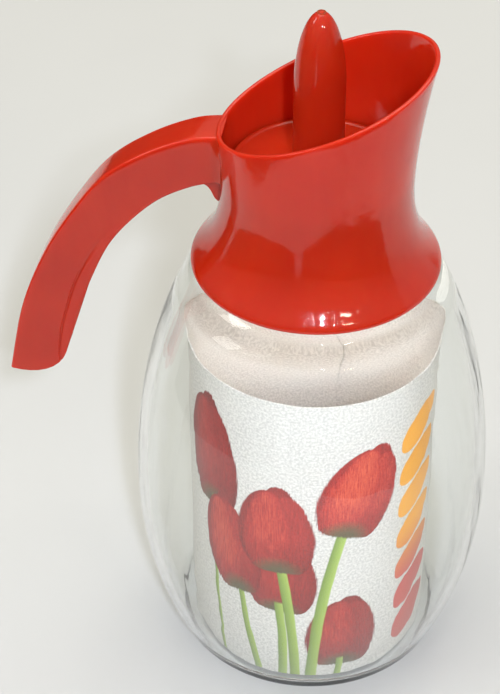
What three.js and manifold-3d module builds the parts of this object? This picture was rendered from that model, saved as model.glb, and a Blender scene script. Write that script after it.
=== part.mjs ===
// Lidded glass jug: a threaded glass body, a screwed-on pouring collar with an open-ended
// handle, a lift-out stopper with a tall knob, their seals, and a rolled paper insert.
//
// Units are millimetres. The origin is the centre of the glass base on the surface it
// stands on, +Z is up, +X points to the spout and -X to the handle.

import * as THREE from "three";
import { mergeVertices } from "three/addons/utils/BufferGeometryUtils.js";
import Module from "manifold-3d";

const wasm = await Module();
wasm.setup();

// ---------------------------------------------------------------- driving dimensions

const GAP = 0.3; // left between pieces that touch
const ROUND_SIDES = 48; // facets of the large round pieces
const SMALL_SIDES = 36; // facets of the stopper's pieces

const glass = {
  bellyRadius: 63, // widest outer radius
  bellyHeight: 68, // height of the widest point
  upperSemiAxis: 124.8, // half ellipse above the belly
  lowerSemiAxis: 102.9, // half ellipse below the belly
  footRadius: 44.5, // flat standing face
  heelTop: 4.5, // the heel's round ends here
  wall: 3.2,
  floor: 5.5, // thickness of the base on the axis
  shoulderTop: 158.0, // the barrel ends and the shoulder turns in
  neckRadius: 27.0,
  boreRadius: 24.5,
  neckStart: 171.5,
  lip: 186.0, // top of the glass
  lipBevel: [0.8, 0.6], // outside and inside edge of the lip
  // Middle control points of the shoulder's curve, as [radius, height].
  shoulderPull: [[40.5, 163.2], [27.0, 164.5]],
  insideShoulderPull: [[24.5, 161.8], [37.0, 160.4]],
  insideShoulderFoot: { atHeight: 151, height: 152.5 },
  // The round between wall and floor, as [in from the wall, height].
  insideCorner: [[0, 11], [0.6, 8.8], [1.8, 6.9]],
  outsideHeights: [14, 28, 44, 60, 76, 92, 108, 123, 137, 148],
  insideHeights: [140, 125, 108, 90, 70, 50, 32, 20],
};

const thread = {
  pitch: 6.0,
  sides: 8,
  stepsPerTurn: 32,
  ridgeRadius: 1.25, // round section of both ridges
  glassRadius: 27.6, // centre line of the ridge on the neck
  collarRadius: 28.75, // centre line of the ridge in the collar
  glassStart: 175.2,
  glassTurns: 1.1,
  collarTurns: 0.9,
};

const collar = {
  wall: 2.2,
  flangeRadius: 42.3,
  flangeBottom: 161.8,
  flangeEdge: 1.2, // straight part of the flange's edge
  waistRadius: 31.9,
  waistHeight: 194.0,
  flarePull: [166.0, 171.0], // heights of the flare curve's two middle control points
  rimWall: 1.7,
  rimCentre: 2.2, // the oval mouth sits a little towards the spout
  rimHalfLength: 35.65,
  rimHalfWidth: 32.7,
  rimSpoutSwell: 0.06, // the oval is fuller on the spout side
  rimHeight: 226.5, // height of the mouth's plane on the jug's axis
  rimSlope: 0.435, // rise of that plane towards the spout
  ledgeTop: 190.3,
  ledgeBottom: 187.8,
  ledgeBore: 24.7,
  throatRadius: 29.7,
  sleeveInner: 29.3,
  sleeveOuter: 31.0,
  sleeveBottom: 171.8,
  slotTop: 176.5,
  levels: [0.15, 0.35, 0.55, 0.75, 0.9, 1], // sections of the throat, waist to mouth
};

// The handle's side view is given by points [x, z] of its two edges.
const handle = {
  rootWidth: 14.6,
  tipWidth: 11.4,
  sideWall: 2.3,
  backWall: 2.6,
  ribThickness: 2.8,
  cells: 6, // pockets between the cross ribs
  channelReach: 30, // beyond the handle's depth everywhere
  topEdge: [
    [-30.9, 211.9],
    [-41.5, 210.0],
    [-56.5, 202.9],
    [-71.6, 191.3],
    [-84.8, 172.7],
    [-94.1, 155.4],
    [-102.4, 133.2],
    [-108.2, 105.4],
  ],
  tipPull: [[-99.5, 103.4], [-89.5, 105.5]], // between the two edges' lower ends
  underEdge: [
    [-86.8, 116.5],
    [-82.4, 130.8],
    [-76.9, 148.0],
    [-68.4, 166.2],
    [-54.8, 182.2],
    [-42.0, 190.5],
    [-30.9, 194.2],
  ],
  topSteps: 22,
  tipSteps: 8,
  underSteps: 18,
};

// The small web under the handle's root, drawn in the same plane.
const gusset = {
  thickness: 3.0,
  outline: [
    [-30.9, 196],
    [-44.5, 193.5],
    [-43.0, 190.2],
    [-38.6, 189.6],
    [-35.6, 187.2],
    [-33.8, 183.0],
    [-30.9, 181.0],
  ],
};

const stopper = {
  discRadius: 29.1,
  discTop: 199.5,
  discThickness: 2.2,
  rimSkirtWall: 1.8,
  knobRadius: 8.45,
  knobTip: 257.0,
  knobOgive: 27, // length over which the knob draws in to its tip
  knobWall: 2.0,
  knobFillet: 2.5,
  edgeBevel: 1.0,
  plugRing: { inner: 18.8, outer: 20.6, depth: 5 }, // ring below the disc, inside the plug
  // The knob's hollow near its tip, as [share of the bore, depth below the tip].
  boreTip: [[0, 3], [0.6, 6.5], [0.9, 14]],
  ogiveParts: [0.25, 0.45, 0.63, 0.78, 0.89, 0.96, 0.99], // sections of the knob's tip
};

const plug = {
  radius: 23.2,
  wall: 1.8,
  bottom: 179.5,
  bottomBevel: 1.2,
  floor: 1.8,
  grooveRadius: 22.3,
  grooveBottom: 182.6,
  grooveTop: 185.0,
};

const seal = {
  sectionRadius: 0.8,
  centreRadius: 23.4,
  height: 183.8,
  sides: 8,
};

const neckSeal = { inner: 25.0, outer: 28.6 };

const paper = {
  radius: 43.8,
  thickness: 0.6,
  layerGap: 0.4,
  overlap: 24, // degrees
  overlapStart: 300, // degrees round the roll where it begins to draw inward
  seam: 132, // degrees from +X, where the inner edge lies
  bottom: glass.floor + 2 * GAP,
  top: 133.0,
  steps: 72,
};

// ---------------------------------------------------------------- geometry helpers

const { degToRad: radians, lerp } = THREE.MathUtils;

// Merges shared vertices, drops collapsed triangles and turns the faces outward.
function weld(geometry) {
  const bare = geometry.clone();
  bare.deleteAttribute("normal");
  bare.deleteAttribute("uv");
  const welded = mergeVertices(bare, 1e-4);
  const index = welded.index.array;
  const kept = [];
  for (let i = 0; i < index.length; i += 3) {
    const [a, b, c] = [index[i], index[i + 1], index[i + 2]];
    if (a !== b && b !== c && c !== a) kept.push(a, b, c);
  }
  if (signedVolume(welded.attributes.position, kept) < 0) kept.reverse();
  welded.setIndex(kept);
  return welded;
}

function signedVolume(position, index) {
  const [a, b, c] = [new THREE.Vector3(), new THREE.Vector3(), new THREE.Vector3()];
  let volume = 0;
  for (let i = 0; i < index.length; i += 3) {
    a.fromBufferAttribute(position, index[i]);
    b.fromBufferAttribute(position, index[i + 1]);
    c.fromBufferAttribute(position, index[i + 2]);
    volume += a.dot(b.cross(c)) / 6;
  }
  return volume;
}

function toSolid(geometry) {
  const welded = weld(geometry);
  return new wasm.Manifold(
    new wasm.Mesh({
      numProp: 3,
      vertProperties: new Float32Array(welded.attributes.position.array),
      triVerts: new Uint32Array(welded.index.array),
    }),
  );
}

function toGeometry(solid) {
  const mesh = solid.getMesh();
  const geometry = new THREE.BufferGeometry();
  geometry.setAttribute("position", new THREE.BufferAttribute(mesh.vertProperties, 3));
  geometry.setIndex(new THREE.BufferAttribute(mesh.triVerts, 1));
  geometry.computeVertexNormals();
  return geometry;
}

// Points of a cubic curve through the first and last of four control points.
function bend(controls, steps) {
  const curve = new THREE.CubicBezierCurve(...controls.map(([x, y]) => new THREE.Vector2(x, y)));
  return curve.getPoints(steps).map((point) => [point.x, point.y]);
}

// Turns a profile of [radius, height] points about the Z axis.
function revolve(profile, sides = ROUND_SIDES) {
  const points = profile.map(([radius, height]) => new THREE.Vector2(radius, height));
  const geometry = new THREE.LatheGeometry(points, sides);
  geometry.rotateX(Math.PI / 2);
  return geometry;
}

// A solid cylinder from one height to another.
function disc(radius, low, high, sides = ROUND_SIDES) {
  return revolve([[0, low], [radius, low], [radius, high], [0, high]], sides);
}

// A ring of rectangular section.
function ring(inner, outer, low, high, sides = ROUND_SIDES) {
  return revolve([[inner, low], [outer, low], [outer, high], [inner, high], [inner, low]], sides);
}

// Joins equal rings of points, from the lowest to the highest, into one closed solid.
function loft(rings) {
  const sides = rings[0].length;
  const positions = rings.flat().flatMap((p) => [p.x, p.y, p.z]);
  const index = [];
  for (let level = 0; level + 1 < rings.length; level++) {
    for (let side = 0; side < sides; side++) {
      const next = (side + 1) % sides;
      const [a, b] = [level * sides + side, level * sides + next];
      const [c, d] = [a + sides, b + sides];
      index.push(a, b, d, a, d, c);
    }
  }
  for (const level of [0, rings.length - 1]) {
    const centre = new THREE.Vector3();
    for (const p of rings[level]) centre.addScaledVector(p, 1 / sides);
    const hub = positions.length / 3;
    positions.push(centre.x, centre.y, centre.z);
    for (let side = 0; side < sides; side++) {
      const a = level * sides + side;
      const b = level * sides + ((side + 1) % sides);
      if (level === 0) index.push(hub, b, a);
      else index.push(hub, a, b);
    }
  }
  const geometry = new THREE.BufferGeometry();
  geometry.setAttribute("position", new THREE.Float32BufferAttribute(positions, 3));
  geometry.setIndex(index);
  return geometry;
}

function circlePoints(radius, height, sides = ROUND_SIDES) {
  return Array.from({ length: sides }, (_, side) => {
    const angle = (2 * Math.PI * side) / sides;
    return new THREE.Vector3(radius * Math.cos(angle), radius * Math.sin(angle), height);
  });
}

class Helix extends THREE.Curve {
  constructor(radius, start, pitch, turns) {
    super();
    Object.assign(this, { radius, start, pitch, turns });
  }

  getPoint(t, target = new THREE.Vector3()) {
    const angle = 2 * Math.PI * this.turns * t;
    const height = this.start + this.pitch * this.turns * t;
    return target.set(this.radius * Math.cos(angle), this.radius * Math.sin(angle), height);
  }
}

// A round screw ridge, to be joined to the wall that carries it.
function threadRidge(radius, start, turns) {
  const section = new THREE.Shape();
  for (let side = 0; side < thread.sides; side++) {
    const angle = (2 * Math.PI * (side + 0.5)) / thread.sides;
    const x = thread.ridgeRadius * Math.cos(angle);
    const y = thread.ridgeRadius * Math.sin(angle);
    if (side === 0) section.moveTo(x, y);
    else section.lineTo(x, y);
  }
  section.closePath();
  return new THREE.ExtrudeGeometry(section, {
    steps: Math.round(thread.stepsPerTurn * turns),
    extrudePath: new Helix(radius, start, thread.pitch, turns),
    bevelEnabled: false,
  });
}

// ---------------------------------------------------------------- glass body

// Outer radius of the barrel: two half ellipses that meet at the belly.
function barrelRadius(height) {
  const offset = height - glass.bellyHeight;
  const semiAxis = offset > 0 ? glass.upperSemiAxis : glass.lowerSemiAxis;
  return glass.bellyRadius * Math.sqrt(1 - (offset / semiAxis) ** 2);
}

function makeGlassBody() {
  const outer = [[0, 0], [glass.footRadius, 0]];
  const heelRadius = barrelRadius(glass.heelTop);
  for (const turn of [30, 60]) {
    const along = radians(turn);
    outer.push([
      glass.footRadius + (heelRadius - glass.footRadius) * Math.sin(along),
      glass.heelTop * (1 - Math.cos(along)),
    ]);
  }
  for (const height of [glass.heelTop, ...glass.outsideHeights, glass.shoulderTop]) {
    outer.push([barrelRadius(height), height]);
  }
  const shoulderFoot = [barrelRadius(glass.shoulderTop), glass.shoulderTop];
  const neckFoot = [glass.neckRadius, glass.neckStart];
  outer.push(...bend([shoulderFoot, ...glass.shoulderPull, neckFoot], 5).slice(1));
  const [outerBevel, innerBevel] = glass.lipBevel;
  outer.push([glass.neckRadius, glass.lip - outerBevel]);
  outer.push([glass.neckRadius - outerBevel, glass.lip]);

  const inner = [
    [glass.boreRadius + innerBevel, glass.lip],
    [glass.boreRadius, glass.lip - innerBevel],
  ];
  const boreFoot = [glass.boreRadius, glass.neckStart - 2];
  const { atHeight, height: insideTop } = glass.insideShoulderFoot;
  const insideFoot = [barrelRadius(atHeight) - glass.wall, insideTop];
  inner.push(...bend([boreFoot, ...glass.insideShoulderPull, insideFoot], 4));
  for (const height of glass.insideHeights) {
    inner.push([barrelRadius(height) - glass.wall, height]);
  }
  const cornerRadius = barrelRadius(glass.insideCorner[0][1]) - glass.wall;
  for (const [inward, height] of glass.insideCorner) inner.push([cornerRadius - inward, height]);
  inner.push([paper.radius + 1, glass.floor + 0.1], [0, glass.floor]);

  const ridge = threadRidge(thread.glassRadius, thread.glassStart, thread.glassTurns);
  return toGeometry(toSolid(revolve([...outer, ...inner])).add(toSolid(ridge)));
}

// ---------------------------------------------------------------- pouring collar

// Outer radius of the skirt between the flange and the waist, as [radius, height] points.
function flareProfile(steps) {
  const [flangePull, waistPull] = collar.flarePull;
  return bend(
    [
      [collar.flangeRadius, collar.flangeBottom + collar.flangeEdge],
      [collar.flangeRadius, flangePull],
      [collar.waistRadius, waistPull],
      [collar.waistRadius, collar.waistHeight],
    ],
    steps,
  );
}

// One level of the throat's wall: round at the waist (level 0), the slanted oval at the
// mouth (level 1), and further out beyond it. Inset moves it inward.
function throatLevel(level, inset) {
  const blend = Math.max(level, 0) ** 1.7;
  const points = [];
  for (let side = 0; side < ROUND_SIDES; side++) {
    const angle = (2 * Math.PI * side) / ROUND_SIDES;
    const [cos, sin] = [Math.cos(angle), Math.sin(angle)];
    const rimX = collar.rimCentre + collar.rimHalfLength * cos;
    const rimY = collar.rimHalfWidth * sin * (1 + collar.rimSpoutSwell * cos);
    const rimZ = collar.rimHeight + collar.rimSlope * rimX;
    const centre = collar.rimCentre * blend;
    const x = lerp(collar.waistRadius * cos, rimX, blend);
    const y = lerp(collar.waistRadius * sin, rimY, blend);
    const z = lerp(collar.waistHeight, rimZ, level);
    const length = Math.hypot(x - centre, y);
    points.push(new THREE.Vector3(x - (inset * (x - centre)) / length, y - (inset * y) / length, z));
  }
  return points;
}

// Evenly spaced points of a smooth edge through the given [x, z] points.
function smoothEdge(through, steps) {
  const curve = new THREE.CatmullRomCurve3(through.map(([x, z]) => new THREE.Vector3(x, 0, z)));
  return curve.getSpacedPoints(steps).map((point) => new THREE.Vector2(point.x, point.z));
}

// The handle's outer edge, moved inward by a distance.
function outerEdge(inset) {
  const edge = smoothEdge(handle.topEdge, handle.topSteps);
  return edge.map((point, i) => {
    const ahead = edge[Math.min(i + 1, edge.length - 1)];
    const behind = edge[Math.max(i - 1, 0)];
    const along = ahead.clone().sub(behind).normalize();
    return new THREE.Vector2(point.x + inset * along.y, point.y - inset * along.x);
  });
}

// Turns an outline in the handle's plane into a plate centred on that plane.
function extrudeAcross(points, width) {
  const geometry = new THREE.ExtrudeGeometry(new THREE.Shape(points), {
    depth: width,
    bevelEnabled: false,
  });
  geometry.translate(0, 0, -width / 2);
  geometry.rotateX(Math.PI / 2);
  return geometry;
}

// The handle is a channel: two side walls and a back wall, open towards the jug, with
// cross ribs inside. It narrows from the root to the tip.
function makeHandle() {
  const [root, tip] = [handle.topEdge.at(0), handle.topEdge.at(-1)];
  const tipCurve = bend([tip, ...handle.tipPull, handle.underEdge[0]], handle.tipSteps);
  const outline = [
    ...outerEdge(0),
    ...tipCurve.slice(1).map(([x, z]) => new THREE.Vector2(x, z)),
    ...smoothEdge(handle.underEdge, handle.underSteps).slice(1),
  ];
  const body = extrudeAcross(outline, handle.rootWidth);
  const position = body.attributes.position;
  for (let i = 0; i < position.count; i++) {
    const along = THREE.MathUtils.inverseLerp(root[0], tip[0], position.getX(i));
    const width = lerp(handle.rootWidth, handle.tipWidth, THREE.MathUtils.clamp(along, 0, 1));
    position.setY(i, (position.getY(i) * width) / handle.rootWidth);
  }
  return toSolid(body).subtract(makeHandleChannel());
}

// The hollow of the channel, left whole at each cross rib and at both ends.
function makeHandleChannel() {
  const width = handle.tipWidth - 2 * handle.sideWall;
  const endSteps = 2;
  const back = outerEdge(handle.backWall).slice(endSteps, -endSteps);
  const front = outerEdge(handle.channelReach).slice(endSteps, -endSteps);
  const spacing = (back.length - 1) / handle.cells;
  const stepLength = back[0].distanceTo(back[1]);
  const ribHalf = handle.ribThickness / 2 / stepLength;
  const steps = 4;
  let hollow = null;
  for (let cell = 0; cell < handle.cells; cell++) {
    const from = cell * spacing + ribHalf;
    const to = (cell + 1) * spacing - ribHalf;
    const across = [];
    for (let step = 0; step <= steps; step++) across.push(from + ((to - from) * step) / steps);
    const outline = across.map((at) => sample(back, at));
    outline.push(...across.reverse().map((at) => sample(front, at)));
    const pocket = toSolid(extrudeAcross(outline, width));
    hollow = hollow ? hollow.add(pocket) : pocket;
  }
  return hollow;
}

// A point part way along a list of points.
function sample(points, at) {
  const low = Math.min(Math.floor(at), points.length - 2);
  return points[low].clone().lerp(points[low + 1], at - low);
}

function makeCollar() {
  const flare = flareProfile(10);
  const outerRings = [circlePoints(collar.flangeRadius, collar.flangeBottom)];
  for (const [radius, height] of flare) outerRings.push(circlePoints(radius, height));
  for (const level of collar.levels) outerRings.push(throatLevel(level, 0));

  const wallAt = (level) => lerp(collar.wall, collar.rimWall, Math.min(level, 1));
  const throatRings = [
    circlePoints(collar.throatRadius, collar.ledgeTop),
    circlePoints(collar.throatRadius, collar.waistHeight),
  ];
  const beyondMouth = 1.3;
  for (const level of [...collar.levels, beyondMouth]) {
    throatRings.push(throatLevel(level, wallAt(level)));
  }

  const openBelow = collar.flangeBottom - 1;
  const slot = [[collar.sleeveOuter, openBelow], [collar.sleeveOuter, collar.slotTop]];
  for (const [radius, height] of [...flare].reverse()) {
    if (height < collar.slotTop - 0.4) slot.push([radius - collar.wall, height]);
  }
  slot.push([collar.flangeRadius - collar.wall, openBelow], slot[0]);

  const web = gusset.outline.map(([x, z]) => new THREE.Vector2(x, z));
  const body = toSolid(loft(outerRings))
    .add(makeHandle())
    .add(toSolid(extrudeAcross(web, gusset.thickness)))
    .subtract(toSolid(loft(throatRings)))
    .subtract(toSolid(disc(collar.ledgeBore, collar.ledgeBottom - 1, collar.ledgeTop + 1)))
    .subtract(toSolid(disc(collar.sleeveInner, openBelow, collar.ledgeBottom)))
    .subtract(toSolid(disc(collar.sleeveOuter + 0.5, openBelow, collar.sleeveBottom)))
    .subtract(toSolid(revolve(slot)));
  const ridgeStart = thread.glassStart - thread.pitch / 2;
  const ridge = threadRidge(thread.collarRadius, ridgeStart, thread.collarTurns);
  return toGeometry(body.add(toSolid(ridge)));
}

// ---------------------------------------------------------------- seals

function makeNeckGasket() {
  return weld(ring(neckSeal.inner, neckSeal.outer, glass.lip + GAP, collar.ledgeBottom - GAP));
}

function makePlugSeal() {
  const profile = [];
  for (let side = 0; side <= seal.sides; side++) {
    const angle = (2 * Math.PI * (side % seal.sides)) / seal.sides;
    profile.push([
      seal.centreRadius + seal.sectionRadius * Math.cos(angle),
      seal.height + seal.sectionRadius * Math.sin(angle),
    ]);
  }
  return weld(revolve(profile));
}

// ---------------------------------------------------------------- stopper

function makeStopperLid() {
  const underside = stopper.discTop - stopper.discThickness;
  const skirtBottom = collar.ledgeTop + GAP;
  const skirtInner = stopper.discRadius - stopper.rimSkirtWall;
  const boreRadius = stopper.knobRadius - stopper.knobWall;
  const ogiveStart = stopper.knobTip - stopper.knobOgive;
  const { inner, outer, depth } = stopper.plugRing;
  const fillet = stopper.knobFillet;

  const profile = stopper.boreTip.map(([share, down]) => [boreRadius * share, stopper.knobTip - down]);
  profile.push(
    [boreRadius, ogiveStart],
    [boreRadius, underside],
    [inner, underside],
    [inner, underside - depth],
    [outer, underside - depth],
    [outer, underside],
    [skirtInner, underside],
    [skirtInner, skirtBottom],
    [stopper.discRadius, skirtBottom],
    [stopper.discRadius, stopper.discTop - stopper.edgeBevel],
    [stopper.discRadius - stopper.edgeBevel, stopper.discTop],
    [stopper.knobRadius + fillet, stopper.discTop],
    [stopper.knobRadius + 0.3 * fillet, stopper.discTop + 0.3 * fillet],
    [stopper.knobRadius, stopper.discTop + fillet],
    [stopper.knobRadius, ogiveStart],
  );
  for (const part of stopper.ogiveParts) {
    const radius = stopper.knobRadius * Math.sqrt(1 - part ** 2);
    profile.push([radius, ogiveStart + stopper.knobOgive * part]);
  }
  profile.push([0, stopper.knobTip]);
  return weld(revolve(profile, SMALL_SIDES));
}

function makeStopperPlug() {
  const top = stopper.discTop - stopper.discThickness - GAP;
  const innerRadius = plug.radius - plug.wall;
  return weld(
    revolve(
      [
        [0, plug.bottom],
        [plug.radius - plug.bottomBevel, plug.bottom],
        [plug.radius, plug.bottom + plug.bottomBevel],
        [plug.radius, plug.grooveBottom],
        [plug.grooveRadius, plug.grooveBottom],
        [plug.grooveRadius, plug.grooveTop],
        [plug.radius, plug.grooveTop],
        [plug.radius, top],
        [innerRadius, top],
        [innerRadius, plug.bottom + plug.floor],
        [0, plug.bottom + plug.floor],
      ],
      SMALL_SIDES,
    ),
  );
}

// ---------------------------------------------------------------- paper insert

// A sheet rolled once round with a short overlap: the two ends lie on different radii.
function makePaperInsert() {
  const sweep = 360 + paper.overlap;
  const inwardStep = paper.thickness + paper.layerGap;
  const outsideLine = [];
  const insideLine = [];
  for (let i = 0; i <= paper.steps; i++) {
    const turn = (sweep * i) / paper.steps;
    const angle = radians(paper.seam - paper.overlap - turn);
    const drawnIn = THREE.MathUtils.smoothstep(turn, paper.overlapStart, sweep - paper.overlap);
    const outside = paper.radius - inwardStep * drawnIn;
    const inside = outside - paper.thickness;
    outsideLine.push(new THREE.Vector2(outside * Math.cos(angle), outside * Math.sin(angle)));
    insideLine.push(new THREE.Vector2(inside * Math.cos(angle), inside * Math.sin(angle)));
  }
  const outline = new THREE.Shape([...outsideLine, ...insideLine.reverse()]);
  const height = paper.top - paper.bottom;
  const geometry = new THREE.ExtrudeGeometry(outline, { depth: height, bevelEnabled: false });
  geometry.translate(0, 0, paper.bottom);
  return weld(geometry);
}

// ---------------------------------------------------------------- assembly

const jug = new THREE.Group();

function addPiece(name, geometry, color, roughness, extra = {}) {
  const material = new THREE.MeshStandardMaterial({ color, roughness, metalness: 0, ...extra });
  const piece = new THREE.Mesh(geometry, material);
  piece.name = name;
  jug.add(piece);
}

const RED = 0xc62a1a;
const CLEAR = 0xe8f0ee;
const SILICONE = 0xe9e6df;
const PAPER = 0xf4f3ee;

addPiece("glass_body", makeGlassBody(), CLEAR, 0.03, { transparent: true, opacity: 0.3 });
addPiece("pouring_collar", makeCollar(), RED, 0.16);
addPiece("neck_gasket", makeNeckGasket(), SILICONE, 0.6);
addPiece("stopper_lid", makeStopperLid(), RED, 0.16);
addPiece("stopper_plug", makeStopperPlug(), SILICONE, 0.45);
addPiece("plug_seal", makePlugSeal(), SILICONE, 0.6);
addPiece("paper_insert", makePaperInsert(), PAPER, 0.75);

export default jug;
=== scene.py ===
"""Looks of the lidded glass jug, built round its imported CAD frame.

Metres, in the CAD frame: the origin is the centre of the glass base, +Z is up, +X points
to the spout and -X to the handle. Every visible piece is rebuilt here with fine, rounded
geometry inside the space its CAD node holds, and rides on that node's body.
"""

import math

import bmesh
import bpy
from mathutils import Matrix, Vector, noise


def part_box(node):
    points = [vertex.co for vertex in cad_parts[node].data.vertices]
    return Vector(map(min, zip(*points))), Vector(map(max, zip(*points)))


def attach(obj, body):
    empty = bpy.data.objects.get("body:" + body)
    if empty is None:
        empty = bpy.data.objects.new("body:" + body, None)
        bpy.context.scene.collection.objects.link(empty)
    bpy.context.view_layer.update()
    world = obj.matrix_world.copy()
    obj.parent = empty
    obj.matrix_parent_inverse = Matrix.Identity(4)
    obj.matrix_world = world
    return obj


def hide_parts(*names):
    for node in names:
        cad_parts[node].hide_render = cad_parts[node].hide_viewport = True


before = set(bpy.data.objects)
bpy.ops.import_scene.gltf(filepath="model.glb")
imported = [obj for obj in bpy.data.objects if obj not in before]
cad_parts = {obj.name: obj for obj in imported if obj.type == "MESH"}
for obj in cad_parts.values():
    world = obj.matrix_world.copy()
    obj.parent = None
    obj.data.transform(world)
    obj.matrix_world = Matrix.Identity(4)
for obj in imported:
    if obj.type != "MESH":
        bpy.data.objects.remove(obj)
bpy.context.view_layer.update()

MM = 0.001

# ------------------------ sizes from the frame

glass_low, glass_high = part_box("glass_body")
collar_low, collar_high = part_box("pouring_collar")
gasket_low, gasket_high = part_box("neck_gasket")
lid_low, lid_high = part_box("stopper_lid")
plug_low, plug_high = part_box("stopper_plug")
seal_low, seal_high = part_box("plug_seal")
paper_low, paper_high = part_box("paper_insert")

BELLY = glass_high.x  # widest radius of the glass
LIP = glass_high.z  # top of the glass
FLANGE = collar_high.y  # widest radius of the collar's skirt
KNOB_TOP = lid_high.z
DISC = lid_high.y  # radius of the stopper's disc
DISC_LOW = lid_low.z
SHEET = paper_high.x  # radius of the rolled insert
SHEET_LOW = paper_low.z
SHEET_TOP = paper_high.z


# ------------------------ mesh helpers


def lerp(a, b, t):
    return a + (b - a) * t


def smooth(low, high, value):
    t = min(max((value - low) / (high - low), 0.0), 1.0)
    return t * t * (3 - 2 * t)


def bezier(p0, p1, p2, p3, steps):
    """Points of a cubic curve, without its first point."""
    points = []
    for i in range(1, steps + 1):
        t = i / steps
        u = 1 - t
        points.append(
            tuple(
                u**3 * a + 3 * u * u * t * b + 3 * u * t * t * c + t**3 * d
                for a, b, c, d in zip(p0, p1, p2, p3)
            )
        )
    return points


def softened(corners, steps=4):
    """A profile of (radius, height, rounding) corners in mm, each corner turned into a
    small curve. The first and last points stay where they are."""
    points = [corners[0][:2]]
    for before, corner, after in zip(corners, corners[1:], corners[2:]):
        here = Vector(corner[:2])
        if corner[2] == 0:
            points.append(tuple(here))
            continue
        back = Vector(before[:2]) - here
        ahead = Vector(after[:2]) - here
        start = here + back.normalized() * min(corner[2], back.length * 0.49)
        end = here + ahead.normalized() * min(corner[2], ahead.length * 0.49)
        for i in range(steps + 1):
            t = i / steps
            points.append(tuple(start * (1 - t) ** 2 + here * 2 * t * (1 - t) + end * t * t))
    points.append(corners[-1][:2])
    return points


def grid_faces(rows, columns, wrap_rows=False, wrap_columns=True):
    """Quads of a grid whose vertices are listed row by row."""
    faces = []
    for row in range(rows if wrap_rows else rows - 1):
        above = (row + 1) % rows
        for column in range(columns if wrap_columns else columns - 1):
            beside = (column + 1) % columns
            here, over = row * columns, above * columns
            faces.append((here + column, here + beside, over + beside, over + column))
    return faces


def around_axis(radius, angle, height):
    """A point in metres from a radius and height in mm and an angle about the Z axis."""
    return (radius * math.cos(angle) * MM, radius * math.sin(angle) * MM, height * MM)


def turned_surface(profile, sides, push=None):
    """Vertices and faces of a profile, (radius, height) in mm, turned about the Z axis.
    push(radius, height, angle) may give another radius. Points on the axis are single."""
    vertices, faces, rings = [], [], []
    for radius, height in profile:
        ring = []
        for side in range(sides if radius > 1e-6 else 1):
            angle = 2 * math.pi * side / sides
            r = push(radius, height, angle) if push else radius
            ring.append(len(vertices))
            vertices.append(around_axis(r, angle, height))
        rings.append(ring)
    for lower, upper in zip(rings, rings[1:]):
        for side in range(sides):
            beside = (side + 1) % sides
            if len(lower) == 1:
                faces.append((lower[0], upper[beside], upper[side]))
            elif len(upper) == 1:
                faces.append((lower[side], lower[beside], upper[0]))
            else:
                faces.append((lower[side], lower[beside], upper[beside], upper[side]))
    return vertices, faces


def add_to_scene(name, data):
    made = bpy.data.objects.new(name, data)
    bpy.context.scene.collection.objects.link(made)
    return made


def make_object(name, vertices, faces, sharp_angle=35):
    """A mesh object with outward faces and smooth shading up to sharp_angle degrees."""
    mesh = bpy.data.meshes.new(name)
    mesh.from_pydata([tuple(v) for v in vertices], [], faces)
    mesh.update()
    made = add_to_scene(name, mesh)
    face_outward(mesh)
    shade(mesh, sharp_angle)
    return made


def face_outward(mesh):
    work = bmesh.new()
    work.from_mesh(mesh)
    bmesh.ops.remove_doubles(work, verts=work.verts, dist=1e-7)
    bmesh.ops.recalc_face_normals(work, faces=work.faces)
    work.to_mesh(mesh)
    work.free()


def shade(mesh, sharp_angle):
    mesh.shade_smooth()
    mesh.set_sharp_from_angle(angle=math.radians(sharp_angle))


JOINED_SHARP = 32  # degrees


def unite(target, others):
    """Joins other closed pieces into target as one closed surface."""
    for other in others:
        modifier = target.modifiers.new("join", "BOOLEAN")
        modifier.operation = "UNION"
        modifier.solver = "MANIFOLD"
        modifier.object = other
    graph = bpy.context.evaluated_depsgraph_get()
    joined = bpy.data.meshes.new_from_object(target.evaluated_get(graph))
    target.modifiers.clear()
    target.data = joined
    for other in others:
        bpy.data.objects.remove(other)
    shade(joined, JOINED_SHARP)
    return target


# ------------------------ glass body

# The barrel is two half ellipses that meet at its widest ring. Sizes in mm.
BARREL_MIDDLE = 68.0
UPPER_AXIS = 124.8
LOWER_AXIS = 102.9
GLASS_WALL = 3.2
GLASS_SIDES = 144
NECK, BORE = 27.0, 24.5  # radii of the neck, outside and inside
FOOT = 44.5  # radius of the standing ring
PUSH_UP, FLOOR_TOP = 2.4, 5.4  # heights of the underside and the inner floor in the middle
SHOULDER_Z, NECK_Z = 158.0, 171.5  # where the barrel ends and the neck begins
THREAD_PITCH = 6.0
THREAD_START, THREAD_TURNS, THREAD_RISE, THREAD_HALF = 175.2, 1.1, 1.7, 1.45


def barrel(height):
    """Outer radius of the glass between heel and shoulder."""
    offset = height - BARREL_MIDDLE
    axis = UPPER_AXIS if offset > 0 else LOWER_AXIS
    return BELLY / MM * math.sqrt(1 - (offset / axis) ** 2)


def ridge(height, angle, start, turns, width):
    """How much of a screw ridge, 0 to 1, lies at this height and angle."""
    share = 0.0
    for turn in range(-1, 3):
        along = angle / (2 * math.pi) + turn
        if 0 <= along <= turns:
            ends = smooth(0, 0.06, along) * smooth(0, 0.06, turns - along)
            away = abs(height - start - THREAD_PITCH * along) / width
            if away < 1:
                share = max(share, ends * math.cos(away * math.pi / 2) ** 0.8)
    return share


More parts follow.
